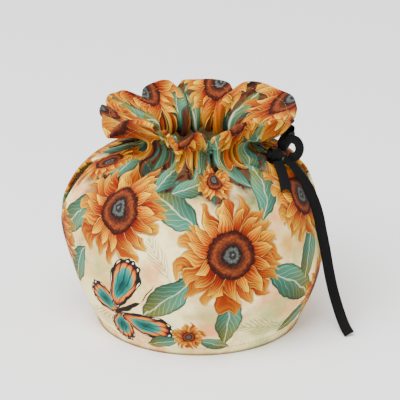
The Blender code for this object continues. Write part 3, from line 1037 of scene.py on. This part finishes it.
def grosgrain():
    made = bpy.data.materials.new("black_grosgrain")
    made.use_nodes = True
    tree = made.node_tree
    surface = tree.nodes["Principled BSDF"]
    flat = add(tree, "UVMap", uv_map="flat_ribbon")
    ribs = add(tree, "TexWave", flat, Scale=RIB_SCALE, wave_type="BANDS", bands_direction="Y")
    ribs = ribs.node.outputs["Fac"]
    worn = add(tree, "TexNoise", flat, Scale=0.8, Detail=3.0)
    # The ribs' tops are painted lighter, a painted highlight, and mottled by wear.
    rib_highlight_and_wear = add(tree, "Math", ribs, worn, operation="MULTIPLY")
    colour = ramp(tree, rib_highlight_and_wear, [(0.0, "#050506"), (0.7, "#101012")], "LINEAR")
    tree.links.new(colour, surface.inputs["Base Color"])
    bump = add(tree, "Bump", Strength=0.5, Distance=0.0002, Height=ribs)
    tree.links.new(bump, surface.inputs["Normal"])
    surface.inputs["Roughness"].default_value = 0.62
    surface.inputs["Specular IOR Level"].default_value = 0.09
    return made


black = grosgrain()


# %% Strips of ribbon
def unit(vectors):
    return vectors / np.linalg.norm(vectors, axis=1)[:, None]


def facing(azimuth, rise=0):
    a, r = np.radians(azimuth), np.radians(rise)
    return np.stack([np.cos(a) * np.cos(r), np.sin(a) * np.cos(r), np.sin(r)], 1)


def strip(name, centre, widths, notch=0.0, cup=0.0):
    """A flat ribbon along a centreline; cup is how far its edges curl off its middle."""
    onward = unit(np.gradient(centre, axis=0))
    widths = unit(widths - onward * (widths * onward).sum(1)[:, None])
    normal = np.cross(widths, onward)
    across = np.linspace(-1, 1, 9)
    run = np.concatenate([[0], np.cumsum(np.linalg.norm(np.diff(centre, axis=0), axis=1))])
    points = centre[:, None] + widths[:, None] * across[None, :, None] * RIBBON_WIDTH / 2
    points = points + normal[:, None] * (across**2)[None, :, None] * cup
    share = np.clip((run - (run[-1] - 2 * NOTCH)) / (2 * NOTCH), 0, 1)
    points = points + onward[:, None] * (share[:, None] * abs(across))[:, :, None] * notch
    flat = np.stack(np.broadcast_arrays(across * RIBBON_WIDTH / 2 / MM, run[:, None] / MM), 2)
    mesh = grid_mesh(name, points, flat)
    mesh.uv_layers[0].name = "flat_ribbon"
    mesh.materials.append(black)
    obj = placed(name, mesh)
    shell = obj.modifiers.new("thickness", "SOLIDIFY")
    shell.thickness, shell.offset = RIBBON_THICKNESS, 0
    applied(obj)
    obj.data.shade_smooth()
    return obj, run[-1]


def ribbon(name, stops, notch=0.0, cup=0.0):
    table = np.array(stops, float)
    spans = len(table) - 1
    steps = np.linspace(0, spans, 12 * spans + 1)
    places = table[:, :3] * MM + (AXIS_X, 0, 0)
    centre = np.array([along(places, t) for t in steps])
    widths = facing(table[:, 3], table[:, 4])
    widths = unit(np.array([along(widths, t) for t in steps]))
    obj, length = strip(name, centre, widths, notch, cup)
    print(name, round(length / MM), "mm long")
    return obj, centre, length


tail_long, tail_path, tail_length = ribbon("ribbon_tail_long", LONG_TAIL, cup=RIBBON_CURL)
tail_short = ribbon("ribbon_tail_short", SHORT_TAIL, NOTCH, cup=RIBBON_CURL)[0]
drawstring_end = ribbon("ribbon_drawstring_end", DRAWSTRING_END)[0]
loop_front = ribbon("ribbon_loop_front", FRONT_LOOP)[0]
loop_back = ribbon("ribbon_loop_back", BACK_LOOP)[0]


# %% The knot
def knot(name):
    """A rounded core, pinched in the middle by one turn of ribbon."""
    turn = np.radians(np.linspace(0, 360, 33))
    lean = facing(np.array([18.0]), np.array([-14.0]))[0]
    side = np.cross((0, 0, 1), lean)
    side /= np.linalg.norm(side)
    up = np.cross(lean, side)
    ring = side * np.cos(turn)[:, None] * 4.7 * MM + up * np.sin(turn)[:, None] * 4.2 * MM
    wrap, _ = strip(name, np.array(KNOT) + ring, np.broadcast_to(lean, ring.shape), cup=-0.9 * MM)
    rows, columns = 13, 25
    a, b = np.meshgrid(np.linspace(-90, 90, rows), np.linspace(0, 360, columns), indexing="ij")
    across = np.sin(np.radians(a))
    girth = np.cos(np.radians(a)) * (0.82 + 0.18 * abs(across)) * (1 + 0.07 * np.cos(np.radians(5 * b)))
    points = across[:, :, None] * lean * 6.2 * MM
    points = points + (girth * np.cos(np.radians(b)))[:, :, None] * side * 4.6 * MM
    points = points + (girth * np.sin(np.radians(b)))[:, :, None] * up * 4.0 * MM + np.array(KNOT)
    core = grid_mesh(name + "_core", points, np.stack([a / 15, b / 15], 2))
    core.uv_layers[0].name = "flat_ribbon"
    core.materials.append(black)
    core.shade_smooth()
    return wrap, placed(name + "_core", core)


knot_wrap, knot_core = knot("ribbon_knot")

# %% [markdown]
# ## The floor and the light
#
# A pale floor and a white sky stand for a photographer's light tent: light comes from everywhere, so that
# shadows are soft and only the contact under the hem is dark.  One large lamp from the upper left adds just
# enough direction to show the folds.

# %% Floor and light
SKY_LIGHT, LAMP_WATTS = 1.12, 78
floor_mesh = bpy.data.meshes.new("floor")
floor_mesh.from_pydata([(-6, -6, 0), (6, -6, 0), (6, 6, 0), (-6, 6, 0)], [], [(0, 1, 2, 3)])
floor = placed("floor", floor_mesh)
floor_mesh.materials.append(plain("white_paper", "#fbfbfb", 1.0))  # matt, so that nothing mirrors in it

world = bpy.data.worlds.new("studio")
bpy.context.scene.world = world
world.use_nodes = True
sky = world.node_tree.nodes["Background"].inputs
sky["Color"].default_value = (1, 1, 1, 1)
sky["Strength"].default_value = SKY_LIGHT
key = placed("key", bpy.data.lights.new("key", "AREA"))
key.data.energy = LAMP_WATTS
key.data.size = 1.6
key.location = (-0.6, -0.8, 1.8)
key.rotation_euler = (Vector(key.location) - Vector((0, 0, 0.09))).to_track_quat("Z", "Y").to_euler()
print("lamp", LAMP_WATTS, "W, sky", SKY_LIGHT)

# %% [markdown]
# ## Every piece on the part's one body, in place of the solids it stands for
#
# Every piece rides the one body of the part.  The two panels are sheets of cloth held gathered by the
# drawstring, and the long tail is the one free length of ribbon, with the rest of the bow going with it.

# %% Finish
rest_of_bow = [tail_short, drawstring_end, loop_front, loop_back, knot_wrap, knot_core]
for obj in (front, back, front_stitches, back_stitches, tail_long, *rest_of_bow):
    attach(obj, "root")
ribbons = {
    "tie_tail_long": tail_long,
    "tie_tail_short": tail_short,
    "tie_drawstring_end": drawstring_end,
    "tie_loop_front": loop_front,
    "tie_loop_back": loop_back,
    "tie_knot": knot_core,
}
for node, obj in ribbons.items():
    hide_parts(node)
for obj, node, stitches, tall in (
    (front, "front_panel", front_stitches, tall_front),
    (back, "back_panel", back_stitches, tall_back),
):
    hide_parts(node)
